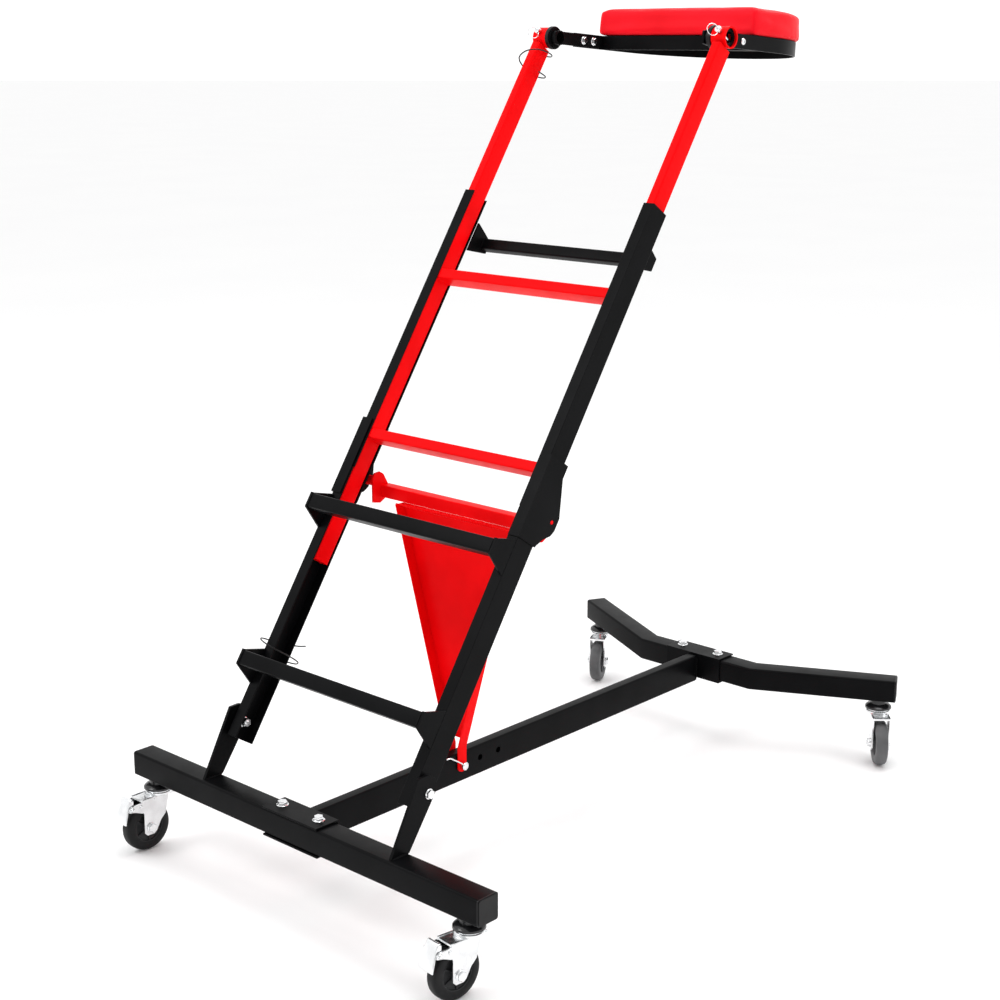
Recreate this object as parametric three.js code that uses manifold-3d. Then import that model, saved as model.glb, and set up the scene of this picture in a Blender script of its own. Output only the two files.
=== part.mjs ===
// Topside mechanics creeper. Millimetres, +Z up.
// X runs along the rear bar, +Y runs from the rear bar towards the front bar.
// The pieces are drawn with y = 0 on the rear bar and the floor at z = FLOOR_Z.
// The group is then moved so that the floor is z = 0 and the overall depth is centred.
import * as THREE from "three";
import { mergeVertices } from "three/addons/utils/BufferGeometryUtils.js";
import Module from "manifold-3d";

const wasm = await Module();
wasm.setup();

// ---- driving dimensions -------------------------------------------------
const GAP = 0.3; // between pieces that touch
const ORIGIN_Y = 520.33; // rear bar to the middle of the overall depth
const FLOOR_Z = 8; // height of the floor in the drawn frame
const BAR = 40; // square tube of the rear and front bars
const BAR_R = 4; // its corner radius
const WALL = 2; // tube and channel wall
const BAR_Z = 121; // underside of both bars
const BAR_TOP = BAR_Z + BAR;
const REAR_LENGTH = 758;
const CAP = 3; // outer thickness of an end cap

const BEAM_W = 20;
const BEAM_H = 50;
const BEAM_HOLES_Y = [333, 376, 419]; // strut pin and two spare holes
const PIN_Z = 139;

const FRONT_Y = 984; // centre line of the front bar's middle stretch
const FRONT_BEND_X = 124; // rear face corner of each bend
const FRONT_ARM_X = 354; // rear face corner of each arm end
const FRONT_SWEEP = 0.473; // forward sweep of the arms, rad

const LEAN = 0.59; // ladder lean from vertical, rad
const LADDER_Y = 47.4; // point of the rail centre line at s = 0
const LADDER_Z = 217.7;

// Ladder section. b runs to the back of the ladder, s runs up the rails.
const LOWER = { x1: 198, x0: 178, b0: -20.5, b1: 18.5, s0: -4, s1: 455, wall: 2 };
const UPPER = { x1: 196, x0: 175.7, b0: -20, b1: 16.5, s0: 456, s1: 958, wall: 1.6 };
const INNER = { x1: 193, x0: 177, b0: -17.5, b1: 13.5, s0: 298, s1: 1242.4 };
const SPLICE = { x0: 179.5, s0: 409, s1: 540, wall: 2 };
const FOLD_S = 23.5; // leg bolts on the rail centre line
const LUG_S = 455; // strut pivot
const LUG_B = 35;
const LUG_HOLE = 3.6; // radius
const STEP_S = [100, 366]; // lower edge of each step
const STEP_H = 23.5;
const STEP_B0 = -62.5; // front face of a step
const STEP_B1 = -38;
const CROSS = { s0: 884, s1: 903, b0: 41, b1: 57 };
const RUNG_S = [509.5, 797.5];
const RUNG_H = 17;
const DECK_S = 1260; // deck pivot
const DECK_B = -2;
const SLEEVE_R = 17;
const SLEEVE_BORE = 14.6;
const SLEEVE_X0 = 170;
const SLEEVE_X1 = 197;

const DECK_TILT = 0.07; // fall of the deck towards the front, rad
const DECK_SWING = Math.PI / 4; // travel of the deck each way
const PIN_R = 3.4; // deck pin
const RING_R = 9; // its pull ring
const RING_HANG = { right: 0.72, left: 1.16 }; // fall of each ring from the pin's line, rad
const FRAME_X = 158; // half width of the deck frame
const FRAME_Y0 = 115; // its front bar, from the pivot
const FRAME_YC = 190; // centre of its round end
const FRAME_H = 23;
const FRAME_T = 3.5;
const PAD_GROW = 7; // the pad stands out beyond the frame
const PAD_T = 45;
const PIN_X = 185; // deck pins, from the centre

const WHEEL_R = 40;
const WHEEL_W = 22;
const WHEEL_Z = FLOOR_Z + WHEEL_R;
const TRAIL = 28;
const FORK_IN = 13.5; // inner face of each fork side
const FORK_OUT = 16;
const FORK_TOP = 97.5; // upper face of the fork's top plate
const PEDAL_Y = 62; // pivot of the brake pedal
const PEDAL_Z = 88;
const REAR_CASTER_X = 343.5;
const FRONT_CASTER_X = 320.5;
const FRONT_CASTER_Y = 1087;
// Heading of each caster: turns its trailing direction from +Y.
const HEADING = {
  rear_right: Math.PI - 0.13, rear_left: Math.PI - 0.02,
  front_right: Math.PI + 0.71, front_left: Math.PI + 0.46,
};

const LEG_X0 = 203.5; // inner face of a leg
const LEG_T = 5;

const STRUT_FRONT = 322; // front edge of its side flanges
const STRUT_BACK = 341; // rear face of its web
const STRUT_WEB_FOOT = 181; // lower edge of its web
const FOOT_HALF = 13; // outer half width at the foot
const FOOT_Z = 170; // where the taper ends
const SLOPE = 0.291; // taper of each side
const SHEET = 2.2;
const EAR_X0 = 172.6; // ear plate, clear of the upper rail's lips
const EAR_X1 = 175.2;

// ---- materials ----------------------------------------------------------
const BLACK = { color: 0x17181a, roughness: 0.38, metalness: 0.1 };
const RED = { color: 0xe01020, roughness: 0.3, metalness: 0.1 };
const CHROME = { color: 0xd9dcde, roughness: 0.16, metalness: 1 };
const PLASTIC = { color: 0x101112, roughness: 0.5, metalness: 0 };
const TYRE = { color: 0x1c1d1e, roughness: 0.7, metalness: 0 };
const GREY_TYRE = { color: 0x6f7174, roughness: 0.7, metalness: 0 };
const VINYL = { color: 0xe01a2c, roughness: 0.45, metalness: 0 };
const WIRE = { color: 0x1a1a1a, roughness: 0.5, metalness: 0.3 };

const root = new THREE.Group();
root.name = "mechanics_creeper";
root.position.set(0, -ORIGIN_Y, -FLOOR_Z);

function add(name, geometry, look) {
  const mesh = new THREE.Mesh(geometry, new THREE.MeshStandardMaterial(look));
  mesh.name = name;
  root.add(mesh);
  return mesh;
}

// ---- shape helpers ------------------------------------------------------
// Rounded rectangle between two corners; drawn as a path for holes and as a shape for solids.
function roundRect(x0, y0, x1, y1, r, Kind = THREE.Shape) {
  const s = new Kind();
  s.moveTo(x0 + r, y0);
  s.lineTo(x1 - r, y0);
  s.absarc(x1 - r, y0 + r, r, -Math.PI / 2, 0, false);
  s.lineTo(x1, y1 - r);
  s.absarc(x1 - r, y1 - r, r, 0, Math.PI / 2, false);
  s.lineTo(x0 + r, y1);
  s.absarc(x0 + r, y1 - r, r, Math.PI / 2, Math.PI, false);
  s.lineTo(x0, y0 + r);
  s.absarc(x0 + r, y0 + r, r, Math.PI, Math.PI * 1.5, false);
  return s;
}

function polygon(points) {
  return new THREE.Shape(points.map(([x, y]) => new THREE.Vector2(x, y)));
}

function circlePath(x, y, r) {
  const p = new THREE.Path();
  p.absarc(x, y, r, 0, Math.PI * 2, true);
  return p;
}

function extrude(shape, depth, curveSegments = 3) {
  return new THREE.ExtrudeGeometry(shape, { depth, bevelEnabled: false, curveSegments });
}

// Shape drawn in x, y; runs from z0 to z1.
function alongZ(shape, z0, z1, curveSegments) {
  return extrude(shape, z1 - z0, curveSegments).translate(0, 0, z0);
}

// Shape drawn in y, z; runs from x0 to x1.
function alongX(shape, x0, x1, curveSegments) {
  const m = new THREE.Matrix4().makeBasis(
    new THREE.Vector3(0, 1, 0), new THREE.Vector3(0, 0, 1), new THREE.Vector3(1, 0, 0));
  return extrude(shape, x1 - x0, curveSegments).applyMatrix4(m).translate(x0, 0, 0);
}

// Shape drawn in x, z; runs from y0 to y1.
function alongY(shape, y0, y1, curveSegments) {
  return extrude(shape, y1 - y0, curveSegments).rotateX(Math.PI / 2).translate(0, y1, 0);
}

function box(x0, y0, z0, x1, y1, z1) {
  return new THREE.BoxGeometry(x1 - x0, y1 - y0, z1 - z0)
    .translate((x0 + x1) / 2, (y0 + y1) / 2, (z0 + z1) / 2);
}

function hollowRect(x0, y0, x1, y1, r, wall) {
  const s = roundRect(x0, y0, x1, y1, r);
  s.holes.push(roundRect(x0 + wall, y0 + wall, x1 - wall, y1 - wall, Math.max(r - wall, 0.8), THREE.Path));
  return s;
}

// Solid of revolution about Z from [radius, z] pairs that form a closed loop.
function turned(points, segments = 28) {
  const loop = points.map(([r, z]) => new THREE.Vector2(r, z));
  if (points[0][0] > 0 || points[points.length - 1][0] > 0) loop.push(loop[0].clone());
  return new THREE.LatheGeometry(loop, segments).rotateX(Math.PI / 2);
}

function rod(r, z0, z1, segments = 20) {
  return new THREE.CylinderGeometry(r, r, z1 - z0, segments).rotateX(Math.PI / 2)
    .translate(0, 0, (z0 + z1) / 2);
}

// Turn something made about Z so that it lies along X, then move it.
function layX(geometry, x = 0, y = 0, z = 0) {
  return geometry.rotateY(Math.PI / 2).translate(x, y, z);
}

// ---- solid helpers ------------------------------------------------------
function toSolid(geometry) {
  const plain = new THREE.BufferGeometry();
  const flat = geometry.index ? geometry.toNonIndexed() : geometry;
  plain.setAttribute("position", flat.getAttribute("position"));
  const merged = mergeVertices(plain, 1e-4);
  const made = new wasm.Manifold(new wasm.Mesh({
    numProp: 3,
    vertProperties: new Float32Array(merged.attributes.position.array),
    triVerts: new Uint32Array(merged.index.array),
  }));
  return made;
}

function fromSolid(solid) {
  const mesh = solid.getMesh();
  const g = new THREE.BufferGeometry();
  g.setAttribute("position", new THREE.BufferAttribute(new Float32Array(mesh.vertProperties), 3));
  g.setIndex(new THREE.BufferAttribute(new Uint32Array(mesh.triVerts), 1));
  const out = g.toNonIndexed();
  out.computeVertexNormals();
  return out;
}

function union(...parts) {
  return fromSolid(parts.map(toSolid).reduce((a, b) => a.add(b)));
}

function cut(body, ...tools) {
  return fromSolid(tools.map(toSolid).reduce((a, b) => a.subtract(b), toSolid(body)));
}

// A closed tube of constant radius along a curve.
function wire(points, radius, sides, steps) {
  const curve = new THREE.CatmullRomCurve3(points.map((p) => new THREE.Vector3(...p)));
  const ring = new THREE.Shape();
  for (let i = 0; i < sides; i += 1) {
    const a = (i / sides) * Math.PI * 2;
    const x = radius * Math.cos(a);
    const y = radius * Math.sin(a);
    if (i === 0) ring.moveTo(x, y);
    else ring.lineTo(x, y);
  }
  return new THREE.ExtrudeGeometry(ring, { steps, bevelEnabled: false, extrudePath: curve });
}

// ---- placing ------------------------------------------------------------
// Ladder pieces are drawn upright (x, b, s) and then leaned forwards.
function lean(geometry) {
  return geometry.rotateX(-LEAN).translate(0, LADDER_Y, LADDER_Z);
}

function leanPoint(x, b, s) {
  const v = new THREE.Vector3(x, b, s).applyAxisAngle(new THREE.Vector3(1, 0, 0), -LEAN);
  return [v.x, v.y + LADDER_Y, v.z + LADDER_Z];
}

// Deck pieces are drawn level about the pivot and then tilted.
function tilt(geometry) {
  const [, y, z] = leanPoint(0, DECK_B, DECK_S);
  return geometry.rotateX(-DECK_TILT).translate(0, y, z);
}

function mirrorX(geometry) {
  return fromSolid(toSolid(geometry).mirror([1, 0, 0]));
}

// Adds a piece on the right (+X) and its mirror image on the left.
function addPair(name, geometry, look) {
  add(`${name}_right`, geometry, look);
  add(`${name}_left`, mirrorX(geometry), look);
}

// ---- base ---------------------------------------------------------------
function rearBar() {
  const half = REAR_LENGTH / 2;
  const section = hollowRect(-BAR / 2, BAR_Z, BAR / 2, BAR_TOP, BAR_R, WALL);
  add("rear_bar", alongX(section, -half + CAP + GAP, half - CAP - GAP), BLACK);
  addPair("rear_bar_cap", endCap().translate(half, 0, 0), PLASTIC);
}

// Plug for a bar end, outer face at x = 0, plug towards -X.
function endCap() {
  const z = BAR_Z + BAR / 2;
  const face = alongX(roundRect(-BAR / 2, BAR_Z, BAR / 2, BAR_TOP, BAR_R), -CAP, -1, 4);
  const d = BAR / 2 - 1.5;
  const dome = alongX(roundRect(-d, z - d, d, z + d, BAR_R), -1.5, 0, 4);
  const p = BAR / 2 - WALL - GAP;
  const plug = alongX(roundRect(-p, z - p, p, z + p, 1.5), -CAP - 14, -CAP + 0.5);
  return union(face, dome, plug);
}

function beam() {
  const y0 = BAR / 2 + WALL + 3;
  const y1 = FRONT_Y - BAR / 2 - WALL - 3;
  const section = hollowRect(-BEAM_W / 2, BAR_TOP - BEAM_H, BEAM_W / 2, BAR_TOP, 3, WALL);
  const holes = BEAM_HOLES_Y.map((y) => layX(rod(5.2, -30, 30), 0, y, PIN_Z));
  add("beam", cut(alongY(section, y0, y1), ...holes), BLACK);
}

// C bracket that hooks over a bar; side = +1 puts the web on the +Y face of the bar.
function saddle(name, y, side) {
  const t = 3;
  const h = BAR / 2;
  const o = h + GAP + t;
  const lip = 21;
  const c = polygon([
    [side * o, BAR_Z - GAP - t], [side * o, BAR_TOP + GAP + t], [-side * lip, BAR_TOP + GAP + t],
    [-side * lip, BAR_TOP + GAP], [side * (h + GAP), BAR_TOP + GAP], [side * (h + GAP), BAR_Z - GAP],
    [-side * lip, BAR_Z - GAP], [-side * lip, BAR_Z - GAP - t],
  ]);
  add(name, alongX(c, -60, 60).translate(0, y, 0), BLACK);
}

function saddleBolts(name, y) {
  const z = BAR_TOP + GAP + 3 + GAP;
  const profile = [[0, 0], [10, 0], [10, 1.5], [7.2, 1.5], [6.8, 5], [5, 6.6], [0, 7]];
  addPair(name, turned(profile, 18).translate(40, y, z), CHROME);
}

// One rounded square tube with two mitred bends.
function frontBar() {
  const s = Math.sin(FRONT_SWEEP);
  const c = Math.cos(FRONT_SWEEP);
  const arm = (FRONT_ARM_X - FRONT_BEND_X) / c;
  const z = BAR_Z + BAR / 2;
  const rearFace = FRONT_Y - BAR / 2;
  const mitre = FRONT_SWEEP / 2;
  // Each station: the rear face corner, and the plan vector across the bar to its front face.
  const stations = [
    { x: -FRONT_ARM_X, y: rearFace + arm * s, ax: s, ay: c },
    { x: -FRONT_BEND_X, y: rearFace, ax: Math.tan(mitre), ay: 1 },
    { x: FRONT_BEND_X, y: rearFace, ax: -Math.tan(mitre), ay: 1 },
    { x: FRONT_ARM_X, y: rearFace + arm * s, ax: -s, ay: c },
  ];
  const ring = (station, shrink) => {
    const h = BAR / 2 - shrink;
    const r = Math.max(BAR_R - shrink, 1);
    return roundRect(-h, -h, h, h, r).getPoints(3).slice(0, -1).map((p) => [
      station.x + station.ax * (p.x + BAR / 2),
      station.y + station.ay * (p.x + BAR / 2),
      z + p.y,
    ]);
  };
  const loops = [...stations.map((k) => ring(k, 0)), ...stations.map((k) => ring(k, WALL)).reverse()];
  add("front_bar", tubeOfLoops(loops), BLACK);
  const cap = endCap().translate(0.2 + CAP, 0, 0).rotateZ(FRONT_SWEEP)
    .translate(FRONT_ARM_X - s * BAR / 2, stations[3].y + c * BAR / 2, 0);
  addPair("front_bar_cap", cap, PLASTIC);
}

// Skin through a ring of loops, the last joined back to the first.
function tubeOfLoops(loops) {
  const n = loops[0].length;
  const position = [];
  loops.forEach((loop, k) => {
    const next = loops[(k + 1) % loops.length];
    for (let i = 0; i < n; i += 1) {
      const j = (i + 1) % n;
      position.push(...loop[i], ...loop[j], ...next[j], ...loop[i], ...next[j], ...next[i]);
    }
  });
  const g = new THREE.BufferGeometry();
  g.setAttribute("position", new THREE.BufferAttribute(new Float32Array(position), 3));
  const solid = toSolid(g);
  if (solid.volume() > 0) return fromSolid(solid);
  const flipped = [];
  for (let i = 0; i < position.length; i += 9) {
    flipped.push(...position.slice(i, i + 3), ...position.slice(i + 6, i + 9));
    flipped.push(...position.slice(i + 3, i + 6));
  }
  g.setAttribute("position", new THREE.BufferAttribute(new Float32Array(flipped), 3));
  return fromSolid(toSolid(g));
}

// Flat leg that stands on the rear bar outside each lower rail.
const [, FOLD_Y, FOLD_Z] = leanPoint(0, 0, FOLD_S);

function leg() {
  const s = new THREE.Shape();
  s.moveTo(-14.5, BAR_TOP + GAP);
  s.lineTo(21, BAR_TOP + GAP);
  s.lineTo(72.5, FOLD_Z - 4);
  s.absarc(FOLD_Y - 4, FOLD_Z + 8, 20, -0.2, 1.5, false);
  s.lineTo(41.5, 264.5);
  s.holes.push(circlePath(FOLD_Y, FOLD_Z, 5.2));
  addPair("leg", alongX(s, LEG_X0, LEG_X0 + LEG_T, 8), BLACK);
}

// Bolt, washer between leg and rail, and nut, turned as one piece.
function foldBolt() {
  const head = LEG_X0 + LEG_T + GAP;
  const profile = [
    [0, 187], [7.5, 187], [7.5, LOWER.x1 - LOWER.wall - GAP], [4.8, LOWER.x1 - LOWER.wall - GAP],
    [4.8, LOWER.x1 + GAP], [11, LOWER.x1 + GAP], [11, LEG_X0 - GAP], [4.8, LEG_X0 - GAP],
    [4.8, head], [8.5, head], [8.5, head + 1.5], [7, head + 1.5], [6.8, head + 5.5], [5.4, head + 7],
    [0, head + 7],
  ];
  addPair("fold_bolt", layX(turned(profile, 20), 0, FOLD_Y, FOLD_Z), CHROME);
}

// ---- ladder -------------------------------------------------------------
// C channel, web on the outside, lips turned in; drawn in x, b.
function channel(d) {
  return polygon([
    [d.x0, d.b0], [d.x1, d.b0], [d.x1, d.b1], [d.x0, d.b1], [d.x0, d.b1 - d.wall],
    [d.x1 - d.wall, d.b1 - d.wall], [d.x1 - d.wall, d.b0 + d.wall], [d.x0, d.b0 + d.wall],
  ]);
}

function ladderRails() {
  const lower = cut(alongZ(channel(LOWER), LOWER.s0, LOWER.s1), layX(rod(5.1, 180, 210), 0, 0, FOLD_S));
  addPair("lower_rail", lean(lower), BLACK);
  addPair("upper_rail", lean(alongZ(channel(UPPER), UPPER.s0, UPPER.s1)), BLACK);
}

// Outer channel over the joint, with the strut lug drawn out of its web.
function splice() {
  const w = SPLICE.wall;
  const grow = GAP + w;
  const d = { x0: SPLICE.x0, x1: LOWER.x1 + grow, b0: LOWER.b0 - grow, b1: LOWER.b1 + grow, wall: w };
  const sleeve = alongZ(channel(d), SPLICE.s0, SPLICE.s1);
  const lug = polygon([
    [d.b1 - 3, 411], [d.b1, 411], [30, 425], [43, 436],
    [47.5, 446], [47.5, 466], [d.b1, 519], [d.b1 - 3, 519],
  ]);
  lug.holes.push(circlePath(LUG_B, LUG_S, LUG_HOLE));
  const plate = alongX(lug, d.x1 - w, d.x1, 6);
  addPair("splice", lean(union(sleeve, plate)), BLACK);
}

function steps() {
  ["low", "mid"].forEach((name, i) => {
    const s = STEP_S[i];
    const section = hollowRect(STEP_B0, s, STEP_B1, s + STEP_H, 3, WALL);
    add(`${name}_step`, lean(alongX(section, -193.4, 193.4)), BLACK);
    const wedge = polygon([
      [LOWER.b0 - GAP, s - 19], [LOWER.b0 - GAP, s + 39], [STEP_B0 + 4, s + STEP_H + 1.5],
      [STEP_B0 - 0.6, s + STEP_H + 1], [STEP_B0 - 0.6, s - 1],
    ]);
    addPair(`${name}_step_bracket`, lean(alongX(wedge, 193.8, 198)), BLACK);
  });
}

function rearCrossbar() {
  const { s0, s1, b0, b1 } = CROSS;
  add("rear_crossbar", lean(alongX(hollowRect(b0, s0, b1, s1, 3, WALL), -171.6, 171.6)), BLACK);
  const gusset = polygon([
    [UPPER.b1 + GAP, s0 - 18], [b1 + 0.5, s0 - 2], [b1 + 0.5, s1 + 1], [UPPER.b1 + GAP, s1 + 14],
  ]);
  addPair("crossbar_gusset", lean(alongX(gusset, 172, 176)), BLACK);
}

// ---- telescoping inner section -----------------------------------------
function innerSection() {
  const rail = alongZ(hollowRect(INNER.x0, INNER.b0, INNER.x1, INNER.b1, 2.5, 1.5), INNER.s0, INNER.s1);
  const bore = layX(rod(SLEEVE_R + GAP, 160, 200, 32), 0, DECK_B, DECK_S);
  addPair("inner_rail", lean(cut(rail, bore)), RED);
  ["lower", "upper"].forEach((name, i) => {
    const s = RUNG_S[i];
    const section = hollowRect(INNER.b0, s, INNER.b1, s + RUNG_H, 2.5, 1.5);
    add(`${name}_rung`, lean(alongX(section, -INNER.x0 + GAP, INNER.x0 - GAP)), RED);
  });
  const tube = turned([
    [SLEEVE_BORE, SLEEVE_X0], [SLEEVE_R, SLEEVE_X0], [SLEEVE_R, SLEEVE_X1], [SLEEVE_BORE, SLEEVE_X1],
  ], 30);
  const pinHole = rod(PIN_R + 0.5, -30, 30, 12).rotateX(Math.PI / 2).translate(PIN_X, 0, 0);
  addPair("deck_sleeve", lean(cut(layX(tube), pinHole).translate(0, DECK_B, DECK_S)), RED);
}

// ---- deck ---------------------------------------------------------------
const HUB_R = SLEEVE_BORE - GAP;

// Arm with its hollow hub, drawn about the pivot. The deck pin crosses the hub in two slots,
// which are long enough for the deck's whole travel.
function deckArm() {
  const hub = layX(turned([
    [9.5, 150.4], [12, 150.4], [12, 160], [16, 160], [16, SLEEVE_X0 - GAP], [HUB_R, SLEEVE_X0 - GAP],
    [HUB_R, 193], [9.5, 193],
  ], 24));
  const tab = alongX(roundRect(-13, -10.5, 104, 10.5, 4), 150.4, 154.2, 4);
  const bore = layX(rod(9.5, 140, 200, 24));
  const clear = PIN_R + 0.5;
  const reach = DECK_SWING + Math.asin(clear / 9.5);
  const arc = () => alongX(sector(8, 18, -reach, reach), PIN_X - clear, PIN_X + clear, 16);
  const slots = [0, Math.PI].map((turn) => arc().rotateX(turn + DECK_TILT - LEAN));
  return cut(union(hub, tab), bore, ...slots);
}

function sector(r0, r1, a0, a1) {
  const s = new THREE.Shape();
  s.absarc(0, 0, r1, a0, a1, false);
  s.absarc(0, 0, r0, a1, a0, true);
  return s;
}

// D shaped outline in plan, straight edge to the user; k shrinks it.
function dShape(k, Kind = THREE.Shape, corner = 5) {
  const s = new Kind();
  const x = FRAME_X - k;
  const y = FRAME_Y0 + k;
  const r = Math.max(corner - k, 1);
  s.moveTo(-x + r, y);
  s.lineTo(x - r, y);
  s.absarc(x - r, y + r, r, -Math.PI / 2, 0, false);
  s.lineTo(x, FRAME_YC);
  s.absarc(0, FRAME_YC, x, 0, Math.PI, false);
  s.lineTo(-x, y + r);
  s.absarc(-x + r, y + r, r, Math.PI, Math.PI * 1.5, false);
  return s;
}

function deck() {
  const ringShape = dShape(0);
  ringShape.holes.push(dShape(FRAME_T, THREE.Path));
  const h = FRAME_H / 2;
  const ring = alongZ(ringShape, -h, h, 14);
  const wing = box(FRAME_X - FRAME_T, 42, -h, FRAME_X, FRAME_Y0 + 12, h);
  const otherWing = box(-FRAME_X, 42, -h, -FRAME_X + FRAME_T, FRAME_Y0 + 12, h);
  add("deck_frame", tilt(union(ring, wing, otherWing)), BLACK);
  addPair("deck_arm", tilt(deckArm()), BLACK);
  add("deck_board", tilt(alongZ(dShape(FRAME_T + GAP, THREE.Shape, 5), 1, h - 0.5, 14)), PLASTIC);
  add("chest_pad", tilt(pad(h)), VINYL);
}

// Plain closed pad with a stepped round-over, sitting on the frame.
function pad(h) {
  const z0 = h + GAP;
  const levels = [[-5, 0], [-PAD_GROW, 4], [-PAD_GROW, PAD_T - 8], [-4, PAD_T - 2], [2, PAD_T]];
  const loops = levels.map(([k, z]) => dShape(k, THREE.Shape, 14).getPoints(10).slice(0, -1)
    .map((p) => [p.x, p.y, z0 + z]));
  const n = loops[0].length;
  const position = [];
  for (let k = 0; k + 1 < loops.length; k += 1) {
    for (let i = 0; i < n; i += 1) {
      const j = (i + 1) % n;
      const [a, b, c, d] = [loops[k][i], loops[k][j], loops[k + 1][j], loops[k + 1][i]];
      position.push(...a, ...b, ...c, ...a, ...c, ...d);
    }
  }
  const flat = (loop) => {
    const outline = loop.map((p) => new THREE.Vector2(p[0], p[1]));
    return THREE.ShapeUtils.triangulateShape(outline, []);
  };
  const bottom = loops[0];
  const top = loops[loops.length - 1];
  flat(bottom).forEach(([a, b, c]) => position.push(...bottom[a], ...bottom[c], ...bottom[b]));
  flat(top).forEach(([a, b, c]) => position.push(...top[a], ...top[b], ...top[c]));
  const g = new THREE.BufferGeometry();
  g.setAttribute("position", new THREE.BufferAttribute(new Float32Array(position), 3));
  return fromSolid(toSolid(g));
}

// Hitch pins through the deck sleeves, each with a pull ring that hangs from its head.
function deckPin(hang) {
  const shank = rod(PIN_R, -20, 22, 14);
  const head = rod(5.5, 19, 25, 14);
  const ring = new THREE.TorusGeometry(RING_R, 1.1, 8, 24).rotateY(Math.PI / 2)
    .translate(0, -RING_R * Math.sin(hang), 24.5 + RING_R * Math.cos(hang));
  return lean(union(shank, head, ring).rotateX(Math.PI / 2).translate(PIN_X, DECK_B, DECK_S));
}

function deckPins() {
  add("deck_pin_right", deckPin(RING_HANG.right), CHROME);
  add("deck_pin_left", mirrorX(deckPin(RING_HANG.left)), CHROME);
}

// ---- strut --------------------------------------------------------------
const [, LUG_Y, LUG_Z] = leanPoint(0, LUG_B, LUG_S);
const STRUT_TOP = LUG_Z - 28; // top of the tapered web

// Tapered web with folded side flanges that end as two cheeks beside the beam.
function strutPanel() {
  const half = (z) => FOOT_HALF + SLOPE * Math.max(z - FOOT_Z, 0);
  const outline = polygon([
    [-half(STRUT_TOP), STRUT_TOP], [-half(STRUT_WEB_FOOT), STRUT_WEB_FOOT],
    [half(STRUT_WEB_FOOT), STRUT_WEB_FOOT], [half(STRUT_TOP), STRUT_TOP],
  ]);
  const web = alongY(outline, STRUT_BACK - SHEET, STRUT_BACK);
  const bend = [
    [half(STRUT_TOP), STRUT_TOP], [FOOT_HALF, FOOT_Z], [FOOT_HALF, 120], [FOOT_HALF - SHEET, 120],
    [FOOT_HALF - SHEET, FOOT_Z], [half(STRUT_TOP) - SHEET * 1.04, STRUT_TOP],
  ];
  const flange = alongY(polygon(bend), STRUT_FRONT, STRUT_BACK);
  const trim = alongX(footTrim(), -60, 60, 10);
  const cheek = cut(cut(flange, trim), layX(rod(5.2, -60, 60), 0, BEAM_HOLES_Y[0], PIN_Z));
  return add("strut_panel", union(web, cheek, mirrorX(cheek)), RED);
}

// Everything outside the rounded tip of a cheek, in y, z.
function footTrim() {
  const r = (STRUT_BACK - STRUT_FRONT) / 2 + 0.5;
  const yc = (STRUT_BACK + STRUT_FRONT) / 2;
  const s = polygon([[300, 110], [360, 110], [360, PIN_Z], [yc + r, PIN_Z]]);
  s.absarc(yc, PIN_Z, r, 0, Math.PI, true);
  s.lineTo(300, PIN_Z);
  return s;
}

// Cross tube with an ear plate and pivot stub at each end.
function strutHead() {
  const z0 = STRUT_TOP + GAP;
  const z1 = z0 + 20;
  const section = hollowRect(STRUT_BACK - SHEET, z0, STRUT_BACK + 18, z1, 2, 1.6);
  const tube = alongX(section, -EAR_X0 - 0.2, EAR_X0 + 0.2);
  const ear = polygon([
    [321, z0 - 6], [337, z0 - 9], [STRUT_BACK + 14, z0 + 1], [STRUT_BACK + 14, z1], [345, LUG_Z + 10],
    [337, LUG_Z + 15], [326, LUG_Z + 14], [321, LUG_Z + 6],
  ]);
  const plate = alongX(ear, EAR_X0, EAR_X1);
  const neck = LUG_HOLE - 0.5;
  const stub = layX(turned([
    [0, EAR_X0 + 1], [8, EAR_X0 + 1], [8, 197.8], [neck, 197.8], [neck, 200], [0, 200],
  ], 18), 0, LUG_Y, LUG_Z);
  const side = union(plate, stub);
  add("strut_head", union(tube, side, mirrorX(side)), RED);
}

// Pin of the strut's foot, carried by the right cheek, with its wire keeper in front of the strut.
// Its shank ends at the beam's side, so that the foot can leave the beam when the ladder folds.
function strutPin() {
  const y = BEAM_HOLES_Y[0];
  const shank = layX(rod(4.7, BEAM_W / 2 + GAP, 15, 18), 0, y, PIN_Z);
  const profile = [[0, 13.4], [6.6, 13.4], [7, 15], [6.6, 19], [4.5, 20.5], [0, 20.8]];
  const head = layX(turned(profile, 18), 0, y, PIN_Z);
  const keeper = wire([
    [17, y, PIN_Z], [18.5, y - 10, PIN_Z + 8], [17.5, y - 22, PIN_Z + 16],
    [14.5, y - 33, PIN_Z + 22], [13, y - 38, PIN_Z + 21],
  ], 1.3, 8, 14);
  add("strut_pin", union(shank, head, keeper), CHROME);
}

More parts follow.
